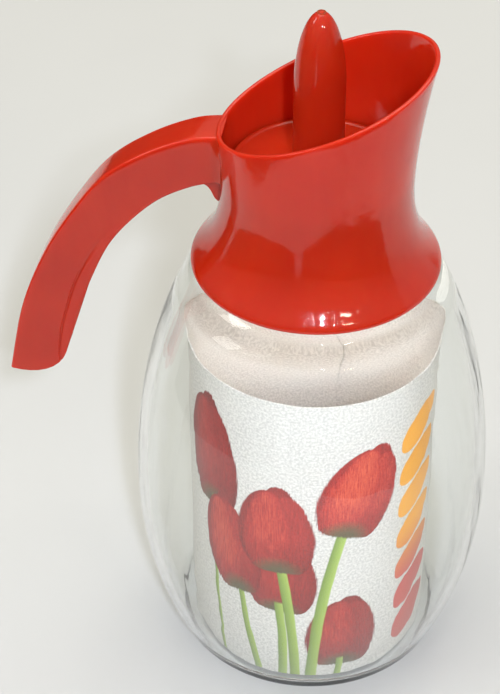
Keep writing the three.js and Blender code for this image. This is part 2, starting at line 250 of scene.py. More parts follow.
def make_glass():
    lip = LIP / MM
    # Underside: a shallow push-up inside the standing ring.
    outer = [(0, PUSH_UP)] + bezier((0, PUSH_UP), (16, PUSH_UP), (30, 2.0), (37.5, 0.9), 14)
    outer += bezier((37.5, 0.9), (38.8, 0.6), (39.2, 0.0), (40.4, 0.0), 5)
    outer += [(42.0, 0.0), (FOOT - 1.2, 0.0)]
    # Heel, barrel, shoulder and neck.
    heel = barrel(5.2)
    outer += bezier((FOOT - 1.2, 0.0), (FOOT + 1.4, 0.0), (heel - 0.9, 2.0), (heel, 5.2), 8)
    outer += [(barrel(z), z) for z in (7 + i * 3.0 for i in range(50))]
    outer += [(barrel(z), z) for z in (SHOULDER_Z - 2.5, SHOULDER_Z)]
    shoulder = (barrel(SHOULDER_Z), SHOULDER_Z)
    outer += bezier(shoulder, (40.5, 163.2), (NECK, 164.5), (NECK, NECK_Z), 14)
    outer += [(NECK, NECK_Z + 0.4 * i) for i in range(1, 33)]
    rim = [(NECK, 184.4, 0), (NECK, lip, 0.9), (BORE, lip, 0.8), (BORE, NECK_Z - 2, 0)]
    outer += softened(rim)[1:]
    # Inside, from the neck's bore down to the floor.
    under_shoulder = (barrel(146) - GLASS_WALL, 146)
    inner = bezier((BORE, NECK_Z - 2), (BORE, 161.8), (41.5, 157.0), under_shoulder, 16)
    inner += [(barrel(z) - GLASS_WALL, z) for z in (143 - i * 3.0 for i in range(44))]
    corner = barrel(11) - GLASS_WALL
    inner += bezier((corner, 11), (corner - 0.8, 8.2), (corner - 2.0, 6.4), (44.0, 5.7), 8)
    inner += [(38, 5.5), (30, 5.45), (20, FLOOR_TOP), (10, FLOOR_TOP), (0, FLOOR_TOP)]

    def push(radius, height, angle):
        """Raises the screw ridge on the neck."""
        if radius > NECK - 0.1 and height > NECK_Z - 0.5:
            share = ridge(height, angle, THREAD_START, THREAD_TURNS, THREAD_HALF)
            return radius + THREAD_RISE * share
        return radius

    vertices, faces = turned_surface(outer + inner, GLASS_SIDES, push)
    return make_object("jug_glass", vertices, faces, 50)


# ------------------------ pouring collar

# Sizes in mm. The throat is round at the waist and a slanted oval at the mouth.
WAIST, WAIST_Z = 31.9, 194.0
MOUTH_X, MOUTH_Z = 2.2, 226.5  # middle of the mouth
MOUTH_LONG, MOUTH_WIDE, MOUTH_EGG = 35.65, 32.7, 0.06
MOUTH_SLANT = 0.435
RIM_WALL, WALL = 1.7, 2.2
SKIRT_LOW = 161.8
SKIRT_TOP_IN = 176.5  # top of the gap between the skirt and the sleeve
SLEEVE_IN, SLEEVE_OUT, SLEEVE_LOW = 29.3, 31.0, 171.8
LEDGE_IN, LEDGE_LOW, LEDGE_TOP = 24.7, 187.8, 190.3
SIDES = 160


def throat_point(level, angle, inset):
    """The throat's wall: round at the waist (level 0), a slanted oval at the mouth (1)."""
    blend = max(level, 0.0) ** 1.7
    cos, sin = math.cos(angle), math.sin(angle)
    rim_x = MOUTH_X + MOUTH_LONG * cos
    rim_y = MOUTH_WIDE * sin * (1 + MOUTH_EGG * cos)
    rim_z = MOUTH_Z + MOUTH_SLANT * rim_x
    x = lerp(WAIST * cos, rim_x, blend)
    y = lerp(WAIST * sin, rim_y, blend)
    z = lerp(WAIST_Z, rim_z, level)
    from_axis = x - MOUTH_X * blend
    reach = math.hypot(from_axis, y)
    return Vector((x - inset * from_axis / reach, y - inset * y / reach, z))


def rim_lip(angle, steps=8):
    """The rounded edge of the mouth, from the outside over to the inside."""
    outside = throat_point(1, angle, 0)
    inside = throat_point(1, angle, RIM_WALL)
    up = (throat_point(1, angle, 0) - throat_point(0.93, angle, 0)).normalized()
    middle = (outside + inside) / 2
    half = (outside - inside) / 2
    drop = up * half.length
    lip = []
    for i in range(steps + 1):
        turn = math.pi * i / steps
        across = math.copysign(abs(math.cos(turn)) ** 0.8, math.cos(turn))
        lip.append(middle - drop + half * across + drop * math.sin(turn) ** 0.8)
    return lip


def make_collar_shell():
    """One closed wall: up the outside from the skirt's edge to the mouth, over the lip,
    down the throat to the ledge, round the threaded sleeve and down inside the skirt."""
    low = SKIRT_LOW
    flange = FLANGE / MM
    throat_low = WAIST - WALL
    angles = [2 * math.pi * side / SIDES for side in range(SIDES)]

    def ring(radius, height, thread_rise=0.0):
        points = []
        for angle in angles:
            r = radius - thread_rise * ridge(height, angle, SLEEVE_LOW + 0.4, 0.9, 1.4)
            points.append(Vector((r * math.cos(angle), r * math.sin(angle), height)))
        return points

    def rounds(profile):
        return [ring(radius, height) for radius, height in profile]

    def oval(level, inset):
        return [throat_point(level, angle, inset) for angle in angles]

    edge = (flange - 1.1, low)
    skirt = (flange, low + 1.2)
    edge_round = bezier(edge, (flange - 0.3, low), (flange, low + 0.3), skirt, 4)
    flare = bezier(skirt, (flange, 166), (WAIST, 171), (WAIST, WAIST_Z), 34)
    flare_inside = [(r - WALL, z) for r, z in flare if z < SKIRT_TOP_IN - 0.4]
    flare_top_in = flare_inside[-1]
    levels = [i / 30 for i in range(1, 29)]
    lips = [rim_lip(angle) for angle in angles]
    ledge = [
        (throat_low, WAIST_Z, 0), (throat_low, LEDGE_TOP, 0.6),
        (LEDGE_IN, LEDGE_TOP, 0.4), (LEDGE_IN, LEDGE_LOW, 0.4),
        (SLEEVE_IN, LEDGE_LOW, 0.3), (SLEEVE_IN, LEDGE_LOW - 0.6, 0),
    ]
    threaded = [SLEEVE_LOW + i * 0.4 for i in range(38, 0, -1)]
    sleeve_end = [
        (SLEEVE_IN, SLEEVE_LOW + 0.4, 0), (SLEEVE_IN, SLEEVE_LOW, 0.3),
        (SLEEVE_OUT, SLEEVE_LOW, 0.3), (SLEEVE_OUT, SLEEVE_LOW + 0.6, 0),
    ]
    gap_top = [
        (SLEEVE_OUT, SLEEVE_LOW + 1.2, 0), (SLEEVE_OUT, SKIRT_TOP_IN, 0.5),
        (flare_top_in[0], SKIRT_TOP_IN, 0.3), flare_top_in + (0,),
    ]

    rings = rounds([edge] + edge_round + flare)
    rings += [oval(level, 0) for level in levels]
    rings += [list(step) for step in zip(*lips)]
    rings += [oval(level, lerp(WALL, RIM_WALL, level)) for level in reversed(levels)]
    rings += rounds(softened(ledge))
    rings += [ring(SLEEVE_IN, height, THREAD_RISE) for height in threaded]
    rings += rounds(softened(sleeve_end))
    rings += rounds(softened(gap_top))
    rings += rounds(reversed(flare_inside[:-1]))
    rings += rounds([(flange - WALL, low + 0.5), (flange - WALL + 0.4, low)])
    vertices = [point * MM for points in rings for point in points]
    faces = grid_faces(len(rings), SIDES, wrap_rows=True)
    return make_object("pouring_collar_shell", vertices, faces)


def spline(points, steps):
    """Evenly spaced points of a smooth curve through the given ones."""
    dense = []
    padded = [points[0] * 2 - points[1]] + points + [points[-1] * 2 - points[-2]]
    for a, b, c, d in zip(padded, padded[1:], padded[2:], padded[3:]):
        for i in range(16):
            t = i / 16
            slope = c - a
            bend = 2 * a - 5 * b + 4 * c - d
            twist = 3 * b - a - 3 * c + d
            dense.append(0.5 * (2 * b + slope * t + bend * t * t + twist * t**3))
    dense.append(points[-1])
    lengths = [0.0]
    for a, b in zip(dense, dense[1:]):
        lengths.append(lengths[-1] + (b - a).length)
    result, at = [], 0
    for i in range(steps + 1):
        want = lengths[-1] * i / steps
        while at + 2 < len(dense) and lengths[at + 1] < want:
            at += 1
        span = lengths[at + 1] - lengths[at]
        result.append(dense[at].lerp(dense[at + 1], (want - lengths[at]) / span))
    return result


# The handle's outline in its middle plane, from the root out to the tip: (x, z) in mm.
HANDLE_TOP = [
    (-30.9, 211.9), (-41.5, 210.0), (-56.5, 202.9), (-71.6, 191.3),
    (-84.8, 172.7), (-94.1, 155.4), (-102.4, 133.2), (-108.2, 105.4),
]
HANDLE_UNDER = [
    (-30.9, 194.2), (-42.0, 190.5), (-54.8, 182.2), (-68.4, 166.2),
    (-76.9, 148.0), (-82.4, 130.8), (-86.8, 116.5),
]
HANDLE_TIP = bezier(HANDLE_TOP[-1], (-99.5, 103.4), (-89.5, 105.5), HANDLE_UNDER[-1], 16)
HANDLE_STEPS = 72
ROOT_WIDTH, TIP_WIDTH = 14.6, 11.4
SIDE_WALL, BACK_WALL = 2.3, 2.6
ROOT_FILLET = 2.2
BEND_FROM = 0.86  # share of the length where the rows begin to bend round the tip


def handle_lines():
    """The two outlines as evenly spaced points."""
    top = spline([Vector(p) for p in HANDLE_TOP], HANDLE_STEPS)
    under = spline([Vector(p) for p in HANDLE_UNDER], HANDLE_STEPS)
    return top, under


def handle_half_width(x):
    reach = (x - HANDLE_TOP[0][0]) / (HANDLE_TOP[-1][0] - HANDLE_TOP[0][0])
    return lerp(ROOT_WIDTH, TIP_WIDTH, reach) / 2


def handle_section(depth, half, cavity, bead):
    """Half of the channel's section, from the middle of the outer face round to the middle
    of the hollow: (distance below the outer face, distance from the middle plane) in mm."""
    edge, inner = 0.8, 0.8  # roundings of the outer edge and of the hollow's corner
    crown = 0.13  # how far the outer face falls away towards its edges
    lip_run, lip_in = 1.0 + 2.2 * bead, 1.0 + 0.4 * bead
    rim = half + 0.1 * bead
    groove = half - 0.35 * bead
    points = [(0.0, 0.0), (0.02, half * 0.4), (0.08, half - edge - 1.0), (crown, half - edge)]
    for i in range(1, 5):
        turn = math.pi / 2 * i / 4
        points.append((crown + edge * (1 - math.cos(turn)), half - edge + edge * math.sin(turn)))
    run = depth - lip_run - 1.2
    for i in range(1, 7):
        points.append((lerp(edge + 0.2, run - 1.8, i / 6), half))
    points += [(run - 1.3, half - 0.02), (run - 0.9, groove), (run - 0.5, groove), (run, rim)]
    for i in range(0, 6):
        turn = math.pi / 2 * i / 5
        down = depth - lip_run + lip_run * math.sin(turn)
        points.append((down, rim - lip_in + lip_in * math.cos(turn)))
    wall = half - SIDE_WALL
    floor = lerp(depth - 0.6, BACK_WALL, cavity)
    points += [(depth, wall + 0.5), (depth - 0.15, wall + 0.15), (depth - 0.5, wall)]
    for i in range(1, 5):
        points.append((lerp(depth - 0.5, floor + inner * cavity, i / 4), wall))
    points.append((floor + 0.3 * inner * cavity, wall - 0.3 * inner))
    points += [(floor, wall - inner), (floor, wall * 0.4), (floor, 0.0)]
    return points


def along_line(points, share):
    at = share * (len(points) - 1)
    low = min(int(at), len(points) - 2)
    return points[low].lerp(points[low + 1], at - low)


def root_fillet(x):
    """How far the sides swell where the handle meets the collar's wall."""
    short = max(0.0, ROOT_FILLET - max(0.0, -x - WAIST))
    return min(ROOT_FILLET - math.sqrt(ROOT_FILLET**2 - short**2), 1.6)


def capped(name, rows):
    """A closed object from rows of points in mm, with a flat face over each end."""
    columns = len(rows[0])
    faces = grid_faces(len(rows), columns)
    faces.append(tuple(reversed(range(columns))))
    faces.append(tuple((len(rows) - 1) * columns + i for i in range(columns)))
    return make_object(name, [p * MM for row in rows for p in row], faces)


def make_handle():
    top, under = handle_lines()
    tip = [Vector(p) for p in [HANDLE_TOP[-1]] + HANDLE_TIP]
    rows = []
    for step in range(HANDLE_STEPS + 1):
        t = step / HANDLE_STEPS
        a, b = top[step], under[step]
        depth = (b - a).length
        swell = root_fillet(a.x)
        cavity = 1 - smooth(0.90, 0.955, t)
        bead = smooth(0.35, 0.75, t)
        bend = smooth(BEND_FROM, 1.0, t) ** 1.5
        row = []
        for down, out in handle_section(depth, handle_half_width(a.x), cavity, bead):
            share = down / depth
            spot = a.lerp(b, share)
            if t > BEND_FROM:
                spot = spot.lerp(along_line(tip, share), bend)
            row.append(Vector((spot.x, out + swell * smooth(0.05, 0.3, share), spot.y)))
        row += [Vector((p.x, -p.y, p.z)) for p in reversed(row[1:-1])]
        rows.append(row)
    # The nose: two more rows draw the sides in before the flat end closes it.
    last = rows[-1]
    for shrink, out in ((0.97, 0.35), (0.90, 0.6)):
        ahead = Vector((-0.03, 0, -0.35)) * out
        rows.append([Vector((p.x, p.y * shrink, p.z)) + ahead for p in last])
    return capped("handle", rows)


def plate(name, outline, half_width, rounding=0.5):
    """A plate across the handle's middle plane: an outline of (x, z) in mm, thickened to
    both sides, with its rim drawn in a little at the faces."""
    centre = sum((Vector(p) for p in outline), Vector((0, 0))) / len(outline)
    rows = []
    for y, inset in (
        (-half_width, rounding),
        (-half_width + 0.3 * rounding, 0.3 * rounding),
        (-half_width + rounding, 0.0),
        (half_width - rounding, 0.0),
        (half_width - 0.3 * rounding, 0.3 * rounding),
        (half_width, rounding),
    ):
        row = []
        for p in outline:
            spoke = Vector(p) - centre
            spot = centre + spoke * (1 - inset / max(spoke.length, inset + 0.1))
            row.append(Vector((spot.x, y, spot.y)))
        rows.append(row)
    return capped(name, rows)


def make_ribs():
    """Five cross ribs inside the handle's channel."""
    top, under = handle_lines()
    ribs = []
    for number in range(1, 6):
        at = round(HANDLE_STEPS * number * 0.152)
        along = (top[at + 1] - top[at - 1]).normalized()
        across = (under[at] - top[at]).normalized()
        depth = (under[at] - top[at]).length
        near, far = top[at] + across * 2.0, top[at] + across * (depth * 0.82)
        edge = far + across * 0.35
        outline = [near - along * 0.9, far - along * 0.7, edge - along * 0.4]
        outline += [edge + along * 0.4, far + along * 0.7, near + along * 0.9]
        half = handle_half_width(top[at].x) - SIDE_WALL + 0.5
        ribs.append(plate(f"rib_{number}", [tuple(p) for p in outline], half, 0.05))
    return ribs


def make_gusset():
    """The small web under the handle's root."""
    corners = [
        (-30.6, 190, 0), (-30.6, 197, 0.3), (-44.6, 193.3, 0.6),
        (-43.0, 190.2, 1.2), (-38.6, 189.6, 1.6), (-35.6, 187.2, 1.6),
        (-33.8, 183.0, 1.2), (-30.6, 181.0, 0.4), (-30.6, 189.5, 0),
    ]
    return plate("gusset", softened(corners), 1.5)


collar = make_collar_shell()
unite(collar, [make_handle(), make_gusset()] + make_ribs())
collar.name = collar.data.name = "collar_with_handle"

# ------------------------ stopper and seals


# Sizes in mm.
DISC_TOP, DISC_UNDER = 199.5, 197.3
KNOB, KNOB_WALL, OGIVE = 8.45, 2.0, 27.0  # radius, wall and length of the rounded end
SPIGOT_IN, SPIGOT_OUT, SPIGOT_LOW = 18.8, 20.6, 192.3
PLUG_WALL = 1.8
GROOVE_IN, GROOVE_LOW, GROOVE_TOP = 22.3, 182.6, 185.0  # the seal's groove in the plug
GASKET_IN = 25.0
ROUND_SIDES = 96


def ogive_points(radius, start, length, steps):
    """The rounded end of the knob, from its foot to its tip."""
    points = []
    for i in range(1, steps + 1):
        share = math.sin(math.pi / 2 * i / steps)
        points.append((radius * math.sqrt(max(0.0, 1 - share * share)), start + length * share))
    return points


def make_lid():
    tip = KNOB_TOP / MM
    disc = DISC / MM
    low = DISC_LOW / MM
    top = DISC_TOP
    knob = KNOB
    bore = KNOB - KNOB_WALL
    foot = tip - OGIVE  # where the knob's straight part ends
    roof = tip - KNOB_WALL * 1.5

    # The hollow of the knob, the underside with its spigot, then over the disc's edge.
    hollow = ogive_points(bore, foot, roof - foot, 12)[:-1]
    profile = [(0.0, roof)] + hollow[::-1]
    profile += [(bore, foot - i * 4.0) for i in range(0, 8)]
    underside = [
        (bore, 199.0, 0), (bore, DISC_UNDER, 0.5),
        (SPIGOT_IN, DISC_UNDER, 0.4), (SPIGOT_IN, SPIGOT_LOW, 0.4),
        (SPIGOT_OUT, SPIGOT_LOW, 0.4), (SPIGOT_OUT, DISC_UNDER, 0.4),
        (disc - 1.8, DISC_UNDER, 0.5), (disc - 1.8, low, 0.4), (disc, low, 0.4),
    ]
    upper_side = [
        (disc, top, 0.8), (disc - 1.5, top, 0.4), (disc - 2.0, top - 0.45, 0.4),
        (disc - 8.0, top - 0.5, 1.0), (knob + 3.2, top - 0.5, 1.0),
        (knob + 0.6, top + 0.1, 1.2), (knob, top + 3.0, 1.4), (knob, top + 6.0, 0),
    ]
    profile += softened(underside + upper_side)
    profile += [(knob, lerp(top + 6, foot, i / 8)) for i in range(1, 9)]
    profile += ogive_points(knob, foot, OGIVE, 26)[:-2]
    # The mark of the moulding gate: a small raised nib with a dimple round it.
    profile += [(1.5, tip - 0.16), (1.2, tip - 0.30), (0.85, tip - 0.26)]
    profile += [(0.7, tip - 0.02), (0.0, tip)]
    return make_object("stopper_cap", *turned_surface(profile, ROUND_SIDES))


def make_plug():
    high = plug_high.z / MM
    low = plug_low.z / MM
    wide = plug_high.y / MM
    inner = wide - PLUG_WALL
    floor = low + PLUG_WALL
    corners = [
        (0, low, 0), (wide - 3.0, low, 0.5), (wide, floor, 1.2),
        (wide, GROOVE_LOW, 0.2), (GROOVE_IN, GROOVE_LOW, 0.2),
        (GROOVE_IN, GROOVE_TOP, 0.2), (wide, GROOVE_TOP, 0.2),
        (wide, high, 0.5), (inner, high, 0.5), (inner, floor, 1.0), (0, floor, 0),
    ]
    return make_object("stopper_plug_cup", *turned_surface(softened(corners), ROUND_SIDES))


def closed_ring(name, loop):
    """A ring whose section is a closed loop of (radius, height) in mm."""
    vertices = []
    for radius, height in loop:
        for side in range(ROUND_SIDES):
            angle = 2 * math.pi * side / ROUND_SIDES
            vertices.append(around_axis(radius, angle, height))
    return make_object(name, vertices, grid_faces(len(loop), ROUND_SIDES, wrap_rows=True))


def make_gasket():
    low, high = gasket_low.z / MM, gasket_high.z / MM
    outer = gasket_high.y / MM
    start = (GASKET_IN, (low + high) / 2, 0)
    corners = [(GASKET_IN, low, 0.3), (outer, low, 0.3), (outer, high, 0.3), (GASKET_IN, high, 0.3)]
    loop = softened([start] + corners + [start])
    return closed_ring("neck_gasket_ring", loop[:-1])


def make_seal():
    radius = (seal_high.z - seal_low.z) / 2 / MM
    middle = (seal_high.z + seal_low.z) / 2 / MM
    centre = seal_high.y / MM - radius
    loop = []
    for i in range(16):
        turn = 2 * math.pi * i / 16
        loop.append((centre + radius * math.cos(turn), middle + radius * math.sin(turn)))
    return closed_ring("plug_seal_ring", loop)


# ------------------------ rolled paper insert

OVERLAP = 24.0  # degrees of the roll that lie double
SEAM = 108.0  # where the outer edge lies, in degrees; the inner edge lies at 84
TUCK = 1.0  # how far the inner edge lies inside the roll, in mm
WAVE = 0.12  # how far the sheet wanders in and out, in mm
PAPER_THICKNESS = 0.4
FRONT = math.radians(-83.5)  # the print's middle
PAPER_COLUMNS, PAPER_ROWS = 256, 44


def make_paper():
    """A sheet rolled once round with a short overlap, with its print laid out in
    millimetres: u along the sheet from the middle of the print, v up from the base."""
    sweep = 360 + OVERLAP
    columns, rows = PAPER_COLUMNS, PAPER_ROWS
    radius = SHEET / MM - 0.15
    top, low = SHEET_TOP / MM, SHEET_LOW / MM
    vertices, uvs = [], []
    for inner in (0, 1):
        for row in range(rows + 1):
            v = lerp(low, top, row / rows)
            for column in range(columns + 1):
                turn = sweep * column / columns
                angle = math.radians(SEAM - turn)
                r = radius - TUCK * smooth(300, 360, turn)
                swirl = Vector((math.cos(angle) * 1.3, math.sin(angle) * 1.3, v * 0.012))
                r += WAVE * noise.noise(swirl) - WAVE - PAPER_THICKNESS * inner
                z = v
                if row == rows:
                    z -= 0.25 + 0.25 * noise.noise(Vector((turn * 0.05, 3.0, 0.0)))
                vertices.append(around_axis(r, angle, z))
                away = math.radians(SEAM) - FRONT - math.radians(turn)
                uvs.append((away * SHEET / MM, v))
    stride = columns + 1
    layer = stride * (rows + 1)
    faces, slots = [], []
    for row in range(rows):
        for column in range(columns):
            a = row * stride + column
            quad = (a, a + 1, a + 1 + stride, a + stride)
            faces += [quad[::-1], tuple(layer + i for i in quad)]
            slots += [0, 1]
    # A strip of faces round the border closes the sheet's edge.
    border = list(range(columns))
    border += [row * stride + columns for row in range(rows)]
    border += [rows * stride + column for column in range(columns, 0, -1)]
    border += [row * stride for row in range(rows, 0, -1)]
    for here, there in zip(border, border[1:] + border[:1]):
        faces.append((here, there, layer + there, layer + here))
        slots.append(1)
    mesh = bpy.data.meshes.new("rolled_insert")
    mesh.from_pydata(vertices, [], faces)
    mesh.polygons.foreach_set("material_index", slots)
    layout = mesh.uv_layers.new(name="print")
    for loop in mesh.loops:
        layout.data[loop.index].uv = uvs[loop.vertex_index]
    mesh.update()
    shade(mesh, 50)
    return add_to_scene("rolled_insert", mesh)


glass = make_glass()
lid = make_lid()
plug = make_plug()
gasket = make_gasket()
seal = make_seal()
paper = make_paper()

# ------------------------ materials


class Field:
    """A number that varies over a surface, written as ordinary arithmetic."""

    def __init__(self, tree, socket):
        self.tree, self.socket = tree, socket

    def _node(self, operation, *values, clamp=False):
        node = self.tree.nodes.new("ShaderNodeMath")
        node.operation = operation
        node.use_clamp = clamp
        for slot, value in zip(node.inputs, values):
            if isinstance(value, Field):
                self.tree.links.new(value.socket, slot)
            else:
                slot.default_value = value
        return Field(self.tree, node.outputs[0])

    def __add__(self, other):
        return self._node("ADD", self, other)

    __radd__ = __add__

    def __sub__(self, other):
        return self._node("SUBTRACT", self, other)

    def __rsub__(self, other):
        return self._node("SUBTRACT", other, self)

    def __mul__(self, other):
        return self._node("MULTIPLY", self, other)

    __rmul__ = __mul__

    def __truediv__(self, other):
        return self._node("DIVIDE", self, other)

    def abs(self):
        return self._node("ABSOLUTE", self)

    def sin(self):
        return self._node("SINE", self)

    def fract(self):
        return self._node("FRACT", self)

    def min(self, other):
        return self._node("MINIMUM", self, other)

    def max(self, other):
        return self._node("MAXIMUM", self, other)

    def ramp(self, low, high):
        """0 at low and 1 at high, clamped; low may be above high."""
        return self._node("MULTIPLY", self - low, 1 / (high - low), clamp=True)

    def power(self, exponent):
        return self._node("POWER", self, exponent)


class Surface:
    """A Principled material with short ways to build its node tree."""

    def __init__(self, name, **settings):
        self.material = bpy.data.materials.new(name)
        self.material.use_nodes = True
        self.tree = self.material.node_tree
        self.shader = self.tree.nodes["Principled BSDF"]
        self.output = self.tree.nodes["Material Output"]
        for socket, value in settings.items():
            self.shader.inputs[socket.replace("_", " ")].default_value = value

    def node(self, kind, **settings):
        made = self.tree.nodes.new(kind)
        for name, value in settings.items():
            setattr(made, name, value)
        return made

    def link(self, source, target):
        socket = source.socket if isinstance(source, Field) else source
        self.tree.links.new(socket, target)

    def place(self):
        """The point in the object's own frame, in metres."""
        return self.node("ShaderNodeTexCoord").outputs["Object"]

    def stretched(self, vector, scale, turn=(0, 0, 0)):
        mapping = self.node("ShaderNodeMapping")
        self.link(vector, mapping.inputs["Vector"])
        mapping.inputs["Scale"].default_value = scale
        mapping.inputs["Rotation"].default_value = turn
        return mapping.outputs[0]

    def noise(self, vector, scale, detail=3.0, roughness=0.5, distortion=0.0):
        made = self.node("ShaderNodeTexNoise")
        self.link(vector, made.inputs["Vector"])
        made.inputs["Scale"].default_value = scale
        made.inputs["Detail"].default_value = detail
        made.inputs["Roughness"].default_value = roughness
        made.inputs["Distortion"].default_value = distortion
        return Field(self.tree, made.outputs["Fac"])

    def mix(self, share, first, second):
        """A colour between first and second; each is a socket or a colour."""
        made = self.node("ShaderNodeMix", data_type="RGBA")
        if isinstance(share, Field):
            self.link(share, made.inputs[0])
        else:
            made.inputs[0].default_value = share
        for value, slot in ((first, made.inputs[6]), (second, made.inputs[7])):
            if isinstance(value, tuple):
                slot.default_value = value + (1.0,)
            else:
                self.link(value, slot)
        return made.outputs[2]

    def bump(self, heights, distance):
        """Surface relief: heights run from 0 to 1 and stand for distance, in metres."""
        made = self.node("ShaderNodeBump")
        made.inputs["Distance"].default_value = distance
        self.link(heights, made.inputs["Height"])
        self.link(made.outputs[0], self.shader.inputs["Normal"])

    def colour(self, socket):
        self.link(socket, self.shader.inputs["Base Color"])

    def roughness(self, field):
        self.link(field, self.shader.inputs["Roughness"])

    def let_light_through(self, share, colour):
        """Thin paper: a share of the light leaves on the far side."""
        glow = self.node("ShaderNodeBsdfTranslucent")
        self.link(colour, glow.inputs["Color"])
        both = self.node("ShaderNodeMixShader")
        both.inputs[0].default_value = share
        self.link(self.shader.outputs[0], both.inputs[1])
        self.link(glow.outputs[0], both.inputs[2])
        self.link(both.outputs[0], self.output.inputs["Surface"])


def scratches(surface, place, scale, turn):
    """Fine hairline scratches: 1 on a line and 0 between lines."""
    long_and_thin = surface.stretched(place, (scale, scale * 0.02, scale * 0.05), turn)
    lines = surface.noise(long_and_thin, 1.0, 2.0)
    return (lines - 0.5).abs().ramp(0.012, 0.0)


def red_plastic():
    """Glossy injection-moulded plastic with flow marks, orange peel and fine scuffs."""
    surface = Surface(
        "red_moulded_plastic",
        IOR=1.50,
        Subsurface_Weight=1.0,
        Subsurface_Radius=(0.0065, 0.0015, 0.0006),
        Subsurface_Scale=1.0,
    )
    place = surface.place()
    cloud = surface.noise(place, 28, 3)
    flow = surface.noise(surface.stretched(place, (60, 60, 14)), 1.0, 4, 0.6, 0.8)
    deep, bright = (0.41, 0.016, 0.0045), (0.51, 0.026, 0.006)
    surface.colour(surface.mix((cloud * 0.6 + flow * 0.4).ramp(0.3, 0.7), deep, bright))
    one_way = scratches(surface, place, 900, (0.3, 0.2, 0.5))
    other_way = scratches(surface, place, 700, (1.1, 0.4, -0.7))
    scuffs = one_way.max(other_way)
    haze = surface.noise(place, 90, 4, 0.6)
    surface.roughness(haze.ramp(0.2, 0.9) * 0.05 + scuffs * 0.06 + 0.045)
    peel = surface.noise(place, 420, 2)
    sink = surface.noise(place, 55, 2)
    surface.bump(peel * 0.10 + sink * 0.90 - scuffs * 0.02, 0.00022)
    return surface.material


def clear_glass():
    """Clear pressed glass with the faint waves of its mould, which lets lamps through."""
    tint = (0.975, 0.988, 0.982, 1.0)
    surface = Surface("clear_pressed_glass", Transmission_Weight=1.0, IOR=1.50, Base_Color=tint)
    place = surface.place()
    waves = surface.noise(surface.stretched(place, (42, 42, 16)), 1.0, 2, 0.45, 0.5)
    ripple = surface.noise(surface.stretched(place, (150, 150, 34)), 1.0, 2, 0.5)
    surface.bump(waves * 0.85 + ripple * 0.15, 0.00022)
    smear = surface.noise(place, 60, 4, 0.65)
    surface.roughness(smear.ramp(0.5, 0.9) * 0.03)
    clear = surface.node("ShaderNodeBsdfTransparent")
    facing = surface.node("ShaderNodeLayerWeight")
    facing.inputs["Blend"].default_value = 0.5
    edge = Field(surface.tree, facing.outputs["Facing"]).power(2.0)
    surface.link(surface.mix(edge, (0.96, 0.965, 0.95), (0.34, 0.33, 0.27)), clear.inputs["Color"])
    path = surface.node("ShaderNodeLightPath")
    either = surface.node("ShaderNodeMixShader")
    surface.link(path.outputs["Is Shadow Ray"], either.inputs[0])
    surface.link(surface.shader.outputs[0], either.inputs[1])
    surface.link(clear.outputs[0], either.inputs[2])
    surface.link(either.outputs[0], surface.output.inputs["Surface"])
    return surface.material


def milky_polymer(name, tint, roughness, grain):
    """Soft translucent plug and seal material with a satin grain and dust in its pores."""
    reach = (0.002, 0.0018, 0.0014)
    surface = Surface(
        name, IOR=1.43, Subsurface_Weight=0.35, Subsurface_Radius=reach, Subsurface_Scale=1.0
    )
    place = surface.place()
    cloud = surface.noise(place, 45, 4, 0.6)
    fine = surface.noise(place, grain, 3)
    darker = tuple(channel * 0.88 for channel in tint)
    surface.colour(surface.mix(cloud.ramp(0.35, 0.7), tint, darker))
    surface.roughness(fine * 0.2 + (roughness - 0.1))
    surface.bump(fine * 0.7 + cloud * 0.3, 0.00012)
    return surface.material


# Each tulip of the print: middle of its base (u, v) in mm, width, height, lean in degrees,
# and how bright it is.
TULIPS_BEHIND = [
    (-10.5, 36.0, 27, 34, 2, 0.62),
    (12.0, 10.0, 27, 34, 2, 0.66),
    (-38.0, 74.0, 27, 50, -6, 0.62),
]
TULIPS_IN_FRONT = [
    (-26.0, 40.0, 24, 44, -13, 0.84),
    (-11.0, 55.0, 29, 41, -4, 0.78),
    (12.0, 72.5, 29, 42, 16, 1.0),
]
# Each stem: foot (u, v), and top (u, v) in mm, with its width and sideways bow.
STEMS = [
    (-33.0, 6.0, -38.5, 78.0, 1.6, -1.5),
    (-17.5, 6.0, -25.5, 43.0, 2.6, -0.8),
    (-8.5, 6.0, -10.5, 40.0, 3.2, 0.6),
    (-4.0, 6.0, -9.8, 58.0, 3.6, 0.8),
    (1.5, 6.0, 12.0, 76.0, 4.0, -1.8),
    (11.0, 6.0, 12.0, 13.0, 2.6, 0.2),
]
# The border of leaves: middle, half width, first leaf and spacing in mm, how far a leaf
# climbs in spacings, and how many there are.
BORDER_U, BORDER_HALF, BORDER_V = 45.0, 11.0, 8.0
LEAF_PITCH, LEAF_SLANT, LEAVES = 15.0, 0.62, 7.0
BORDER_TOP = 116.0


PAPER_GLOW = 0.12  # share of the light that passes through the sheet


def petal(x, y, centre, lean, low, high, half):
    """A petal with a round foot and a blunt tip: (mask, how far in from its edge)."""
    along = (y - low) / (high - low)
    inside = along.ramp(0.0, 0.02) * along.ramp(1.0, 0.98)
    bounded = along.max(0.001).min(0.999)
    reach = bounded.power(0.36) * (1 - bounded).power(0.50) * (1.79 * half)
    across = (x - centre - lean * y).abs() / (reach + 0.001)
    return across.ramp(1.03, 0.97) * inside, (1 - across * across).max(0.0)


